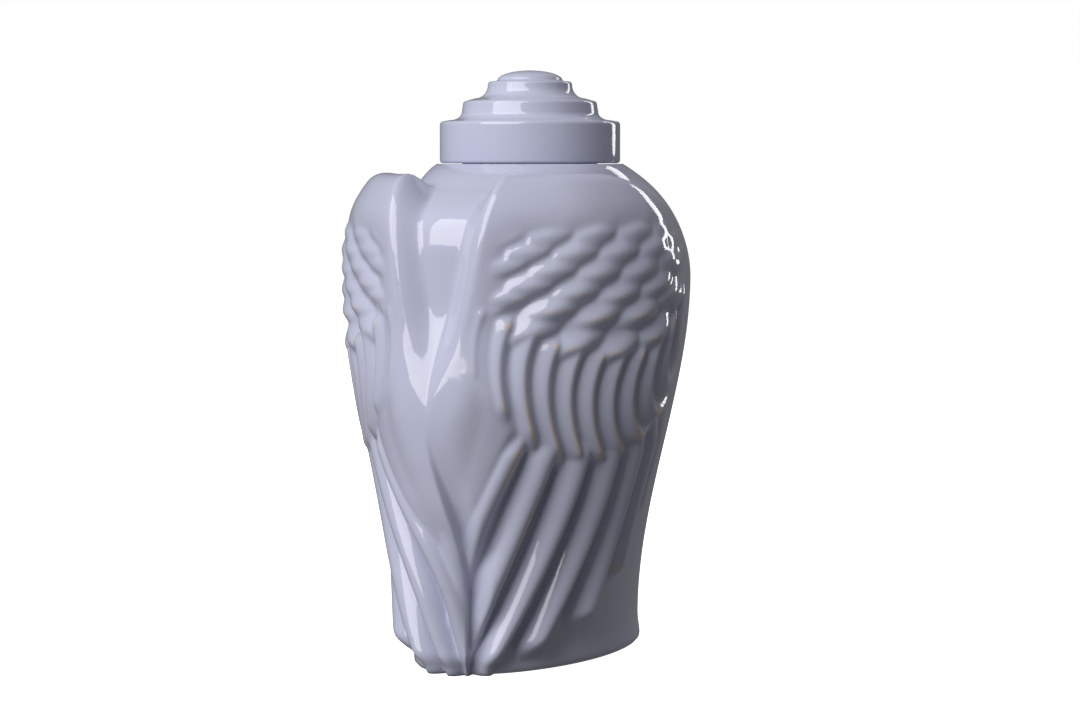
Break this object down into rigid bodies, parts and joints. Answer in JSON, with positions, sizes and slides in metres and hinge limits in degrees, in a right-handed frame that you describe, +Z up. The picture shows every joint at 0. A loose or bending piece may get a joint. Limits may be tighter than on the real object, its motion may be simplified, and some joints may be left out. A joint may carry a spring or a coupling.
{
  "type": "funeral urn",
  "caption": "White glazed ceramic urn whose oval body is wrapped by two folded wings that meet in a V in front, with a stepped round lid that lifts off.",
  "frame": {"origin": "middle of the flat underside", "axes": "+Z up through the middle of the lid, the V between the wings faces -Y, the wings lie at -X and +X"},
  "size_m": [0.1812, 0.2041, 0.3],
  "materials": {
    "glazed_body": "gloss",
    "glazed_lid": "gloss"
  },
  "bodies": {
    "root": {"urn_body": "glazed_body", "lid": "glazed_lid"}
  },
  "joints": []
}
